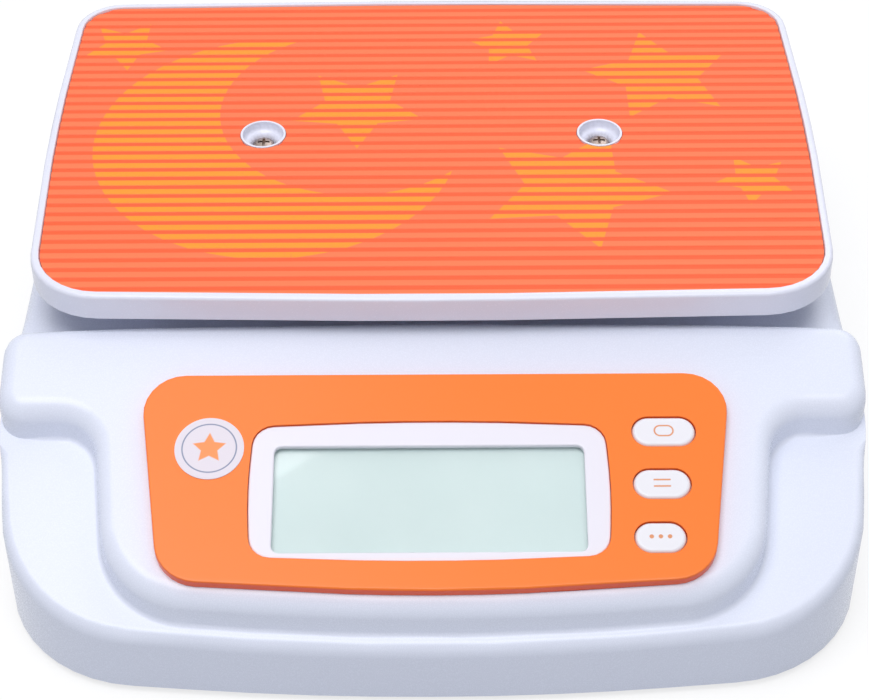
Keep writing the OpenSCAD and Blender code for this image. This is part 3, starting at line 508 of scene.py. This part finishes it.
def make_star():
    """Mask of a star with straight sides: where it stands, its reach, how it is turned and tilted."""
    group, start, end = new_group(
        "star", [("X", "NodeSocketFloat", 0.0), ("Y", "NodeSocketFloat", 0.0),
                 ("Reach", "NodeSocketFloat", 0.02), ("Turn", "NodeSocketFloat", 0.0),
                 ("Slope", "NodeSocketFloat", 1.0)],
        [("Mask", "NodeSocketFloat")])
    tips = 5
    waist = 0.5
    half_step = math.pi / tips
    place = group.nodes.new("ShaderNodeTexCoord").outputs["Object"]
    split = group.nodes.new("ShaderNodeSeparateXYZ")
    group.links.new(place, split.inputs["Vector"])
    across = math_node(group, "SUBTRACT", split.outputs["X"], start.outputs["X"])
    along = math_node(group, "SUBTRACT", split.outputs["Y"], start.outputs["Y"])
    along = math_node(group, "MULTIPLY", along, start.outputs["Slope"])
    far = math_node(group, "SQRT", math_node(
        group, "ADD", math_node(group, "POWER", across, 2.0), math_node(group, "POWER", along, 2.0)))
    angle = math_node(group, "ADD", math_node(group, "ARCTAN2", along, across), start.outputs["Turn"])
    folded = math_node(group, "PINGPONG", angle, half_step)
    out = math_node(group, "MULTIPLY", far, math_node(group, "COSINE", folded))
    side = math_node(group, "MULTIPLY", far, math_node(group, "SINE", folded))
    out = math_node(group, "SUBTRACT", out, start.outputs["Reach"])
    slope = math_node(group, "ADD", math_node(group, "MULTIPLY", out, waist * math.sin(half_step)),
                      math_node(group, "MULTIPLY", side, 1 - waist * math.cos(half_step)))
    group.links.new(between(group, slope, PRINT_EDGE, -PRINT_EDGE), end.inputs["Mask"])
    return group


def make_pill():
    """Mask of a dot, or of a bar with round ends: where it stands, half its length, its radius."""
    group, start, end = new_group(
        "pill", [("X", "NodeSocketFloat", 0.0), ("Y", "NodeSocketFloat", 0.0),
                 ("Half length", "NodeSocketFloat", 0.0), ("Radius", "NodeSocketFloat", 0.02),
                 ("Slope", "NodeSocketFloat", 1.0)], [("Mask", "NodeSocketFloat")])
    place = group.nodes.new("ShaderNodeTexCoord").outputs["Object"]
    split = group.nodes.new("ShaderNodeSeparateXYZ")
    group.links.new(place, split.inputs["Vector"])
    across = math_node(group, "SUBTRACT", split.outputs["X"], start.outputs["X"])
    across = math_node(group, "SUBTRACT", math_node(group, "ABSOLUTE", across), start.outputs["Half length"])
    across = math_node(group, "MAXIMUM", across, 0.0)
    along = math_node(group, "SUBTRACT", split.outputs["Y"], start.outputs["Y"])
    along = math_node(group, "MULTIPLY", along, start.outputs["Slope"])
    far = math_node(group, "SQRT", math_node(
        group, "ADD", math_node(group, "POWER", across, 2.0), math_node(group, "POWER", along, 2.0)))
    over = math_node(group, "SUBTRACT", far, start.outputs["Radius"])
    group.links.new(between(group, over, PRINT_EDGE, -PRINT_EDGE), end.inputs["Mask"])
    return group


STAR = make_star()
PILL = make_pill()

for button in BUTTONS:
    points = [vertex.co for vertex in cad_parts[button + "_button"].data.vertices]
    crown = max(point.dot(panel_normal) for point in points) - 1.0 * MM
    face = [point for point in points if point.dot(panel_normal) > crown]
    middle_x = (min(point.x for point in face) + max(point.x for point in face)) / 2
    middle_y = (min(point.y for point in face) + max(point.y for point in face)) / 2
    cap_plastic = moulded_plastic(button + " button plastic", (239, 238, 244), (250, 250, 255), 0.3)
    tree = cap_plastic.node_tree
    mark = 0.0
    for across, along, half, radius, inked in BUTTON_MARKS[button]:
        pill = add_group(tree, PILL, X=middle_x + across * MM, Y=middle_y + along * MM / PANEL_SLOPE,
                         Half_length=half * MM, Radius=radius * MM, Slope=PANEL_SLOPE).outputs["Mask"]
        mark = math_node(tree, "MAXIMUM" if inked else "SUBTRACT", mark, pill)
    print_on(cap_plastic, mark, MARK_BROWN)
    smooth_copy(button + "_button", button, cap_plastic, sharp=50.0)


# ---- Round disc ----
# A round white disc of printed film, stuck to the panel at the left of the display.
# A thin slate ring and a plain star are printed on it.

DISC_SLATE = (128, 138, 168)
DISC_STAR = (248, 150, 84)
disc_film = moulded_plastic("disc film", (230, 222, 232), (246, 244, 250), 0.4)
tree = disc_film.node_tree
disc_low, disc_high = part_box("panel_disc")
disc_x, disc_y = (disc_low.x + disc_high.x) / 2, (disc_low.y + disc_high.y) / 2
disc_radius = (disc_high.x - disc_low.x) / 2
outer, inner = (add_group(tree, PILL, X=disc_x, Y=disc_y, Radius=share * disc_radius, Slope=PANEL_SLOPE)
                for share in (0.8, 0.76))
ring = math_node(tree, "SUBTRACT", outer.outputs["Mask"], inner.outputs["Mask"])
print_on(disc_film, ring, DISC_SLATE)
star = add_group(tree, STAR, X=disc_x, Y=disc_y, Reach=0.5 * disc_radius, Turn=-math.pi / 2,
                 Slope=PANEL_SLOPE)
print_on(disc_film, star.outputs["Mask"], DISC_STAR)
smooth_copy("panel_disc", "base", disc_film, bevel=0.12 * MM, segments=2)


# ---- Weighing mechanism ----
# A milled aluminium bar with a double bore, bolted down at one end through a spacer.
# Its other end carries the steel support, and a stop screw stands under it.

milled_aluminium = plated_metal("milled aluminium", (206, 208, 212), (170, 172, 176), 0.34, 500.0)
black_steel = plated_metal("blackened steel", (58, 58, 62), (84, 76, 70), 0.42)
pressed_steel = plated_metal("pressed steel", (176, 180, 186), (140, 142, 146), 0.38, 300.0)
smooth_copy("load_cell", "base", milled_aluminium, bevel=0.3 * MM, segments=2)
smooth_copy("lower_spacer", "base", pressed_steel, bevel=0.2 * MM, segments=2)
smooth_copy("upper_spacer", "platform", pressed_steel, bevel=0.2 * MM, segments=2)
smooth_copy("cell_base_screws", "base", black_steel, bevel=0.2 * MM, segments=2)
smooth_copy("cell_top_screws", "platform", black_steel, bevel=0.2 * MM, segments=2)
smooth_copy("overload_stop", "base", black_steel, bevel=0.2 * MM, segments=2)
smooth_copy("platform_support", "platform", pressed_steel, bevel=0.3 * MM, segments=2)


# ---- Weighing platform ----
# The white top shell with a raised lip round the mat and two cups for the tray screws.
# The same glossy ABS as the housing.

platform_plastic = moulded_plastic("platform plastic", (234, 236, 251), (248, 246, 252), 0.26)
smooth_copy("weighing_platform", "platform", platform_plastic, sharp=38.0)


# ---- Mat ----
# Coral silicone rubber with ribs across it. The tops of the ribs are printed in yellow
# with a moon and stars, so the print shows as bands.

MAT_CORAL = (255, 129, 85)
MAT_GROOVE_SHADE = (248, 104, 62)
PRINT_YELLOW = (255, 158, 52)


def mat_rubber():
    """Ribbed rubber with painted shade in its grooves, and a banded print of a moon and stars on its rib
    tops.
    """
    mat_low, mat_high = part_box("platform_mat")
    middle_y = (mat_low.y + mat_high.y) / 2
    material = bpy.data.materials.new("mat rubber")
    material.use_nodes = True
    tree = material.node_tree
    shader = tree.nodes["Principled BSDF"]
    skin = add_group(tree, MOULDED_SKIN, Colour=srgb(*MAT_CORAL), Gloss=0.5, Grain_size=1500.0, Cloud=0.7,
                     Scratches=0.15)
    moon = add_group(tree, PILL, X=-0.058, Y=middle_y - 0.002, Radius=0.068)
    bite = add_group(tree, PILL, X=-0.028, Y=middle_y + 0.018, Radius=0.052)
    picture = math_node(tree, "MULTIPLY", moon.outputs["Mask"],
                        math_node(tree, "SUBTRACT", 1.0, bite.outputs["Mask"]))
    # Each star's place across and along, its reach and its turn.
    stars = [(-0.028, 0.020, 0.026, 0.3), (0.052, -0.030, 0.036, 0.1), (0.088, 0.040, 0.030, -0.5),
             (0.030, 0.062, 0.016, 0.8), (0.118, -0.026, 0.015, 0.5), (-0.120, 0.062, 0.017, 0.2)]
    for x, y, reach, turned in stars:
        placed = add_group(tree, STAR, X=x, Y=middle_y + y, Reach=reach, Turn=turned)
        picture = math_node(tree, "MAXIMUM", picture, placed.outputs["Mask"])
    place = tree.nodes.new("ShaderNodeTexCoord").outputs["Object"]
    split = tree.nodes.new("ShaderNodeSeparateXYZ")
    tree.links.new(place, split.inputs["Vector"])
    on_top = between(tree, split.outputs["Z"], mat_high.z - 0.3 * MM, mat_high.z - 0.05 * MM)
    speckle = between(tree, noise_node(tree, place, 900.0, 3.0), 0.28, 0.42, 0.7, 1.0)
    ink = math_node(tree, "MULTIPLY", math_node(tree, "MULTIPLY", picture, on_top), speckle)
    # Painted shade: below the rib tops the grooves are a darker coral.
    ribs = blend_colours(tree, on_top, srgb(*MAT_GROOVE_SHADE), skin.outputs["Colour"])
    tree.links.new(blend_colours(tree, ink, ribs, srgb(*PRINT_YELLOW)), shader.inputs["Base Color"])
    tree.links.new(skin.outputs["Roughness"], shader.inputs["Roughness"])
    add_bump(tree, skin.outputs["Height"], shader.inputs["Normal"], 0.3, 0.04 * MM)
    shader.inputs["Specular IOR Level"].default_value = 0.25
    return material


smooth_copy("platform_mat", "platform", mat_rubber(), bevel=0.15 * MM, segments=2,
            round_over=20.0)


# ---- Tray screws ----
# Two cross-head screws in the cups, which fasten the platform and would hold a tray.

brassy_zinc = plated_metal("yellow zinc plate", (172, 156, 148), (112, 104, 92), 0.34)
smooth_copy("platform_screws", "platform", brassy_zinc, bevel=0.15 * MM, segments=2)


# ---- Studio ----
# A white table in a white room, with a large soft lamp overhead, a small one that lays a
# sheen on the panel, and a weak one from behind.

camera_data = bpy.data.cameras.new("camera")
camera_data.lens = 93.2
camera_data.sensor_width = 36.0
camera_data.clip_start = 0.01
camera = bpy.data.objects.new("camera", camera_data)
CAMERA_PLACE = Vector((0.00077, -0.62777, 0.59179))
CAMERA_TILT = 48.0
CAMERA_ROLL = -0.3
camera.matrix_world = (Matrix.Translation(CAMERA_PLACE) @ Matrix.Rotation(math.radians(CAMERA_TILT), 4, "X")
                       @ Matrix.Rotation(math.radians(CAMERA_ROLL), 4, "Z"))
bpy.context.scene.collection.objects.link(camera)
bpy.context.scene.camera = camera


def seen_ray(tree):
    """1 for rays from the camera, a mirror or glass, 0 for rays that carry light."""
    path = tree.nodes.new("ShaderNodeLightPath")
    shiny = math_node(tree, "MAXIMUM", path.outputs["Is Glossy Ray"], path.outputs["Is Transmission Ray"])
    return math_node(tree, "MAXIMUM", path.outputs["Is Camera Ray"], shiny)


world = bpy.data.worlds.new("white room")
world.use_nodes = True
tree = world.node_tree
room = tree.nodes["Background"]
room.inputs["Color"].default_value = (0.93, 0.95, 1.0, 1.0)
room.inputs["Strength"].default_value = 0.42
white = tree.nodes.new("ShaderNodeBackground")
white.inputs["Color"].default_value = (1.0, 1.0, 1.0, 1.0)
mix = tree.nodes.new("ShaderNodeMixShader")
tree.links.new(seen_ray(tree), mix.inputs[0])
tree.links.new(room.outputs[0], mix.inputs[1])
tree.links.new(white.outputs[0], mix.inputs[2])
tree.links.new(mix.outputs[0], tree.nodes["World Output"].inputs["Surface"])
bpy.context.scene.world = world


def soft_lamp(name, place, aim, size, power, colour):
    """A square lamp that looks from its place at a point."""
    data = bpy.data.lights.new(name, "AREA")
    data.shape = "RECTANGLE"
    data.size, data.size_y = size
    data.energy = power
    data.color = colour
    lamp = bpy.data.objects.new(name, data)
    lamp.location = place
    lamp.rotation_euler = (Vector(aim) - Vector(place)).to_track_quat("-Z", "Y").to_euler()
    bpy.context.scene.collection.objects.link(lamp)


soft_lamp("overhead lamp", (-0.2, -0.45, 1.6), (0.0, 0.0, 0.0), (1.3, 0.9), 15.2, (1.0, 0.99, 1.0))
soft_lamp("sheen lamp", (-0.28, 0.28, 1.4), (-0.05, -0.1, 0.06), (0.42, 0.34), 0.8, (1.0, 0.98, 1.0))
soft_lamp("back lamp", (0.5, 0.9, 1.2), (0.0, 0.0, 0.05), (1.0, 0.8), 4.0, (0.97, 0.98, 1.0))

FLOOR_REACH = 3.0
floor_mesh = bmesh.new()
bmesh.ops.create_grid(floor_mesh, x_segments=1, y_segments=1, size=FLOOR_REACH)
floor_data = bpy.data.meshes.new("floor")
floor_mesh.to_mesh(floor_data)
floor_mesh.free()
floor = bpy.data.objects.new("floor", floor_data)
bpy.context.scene.collection.objects.link(floor)
floor_paint = bpy.data.materials.new("floor paint")
floor_paint.use_nodes = True
tree = floor_paint.node_tree
paint = tree.nodes["Principled BSDF"]
paint.inputs["Base Color"].default_value = (0.55, 0.57, 0.6, 1.0)
paint.inputs["Roughness"].default_value = 0.9
pale = tree.nodes.new("ShaderNodeBsdfDiffuse")
pale.inputs["Color"].default_value = (0.3, 0.3, 0.3, 1.0)
glow = tree.nodes.new("ShaderNodeEmission")
glow.inputs["Strength"].default_value = 0.73
both = tree.nodes.new("ShaderNodeAddShader")
tree.links.new(pale.outputs[0], both.inputs[0])
tree.links.new(glow.outputs[0], both.inputs[1])
mix = tree.nodes.new("ShaderNodeMixShader")
tree.links.new(seen_ray(tree), mix.inputs[0])
tree.links.new(paint.outputs[0], mix.inputs[1])
tree.links.new(both.outputs[0], mix.inputs[2])
tree.links.new(mix.outputs[0], tree.nodes["Material Output"].inputs["Surface"])
floor_data.materials.append(floor_paint)

bpy.context.scene.view_settings.view_transform = "Standard"
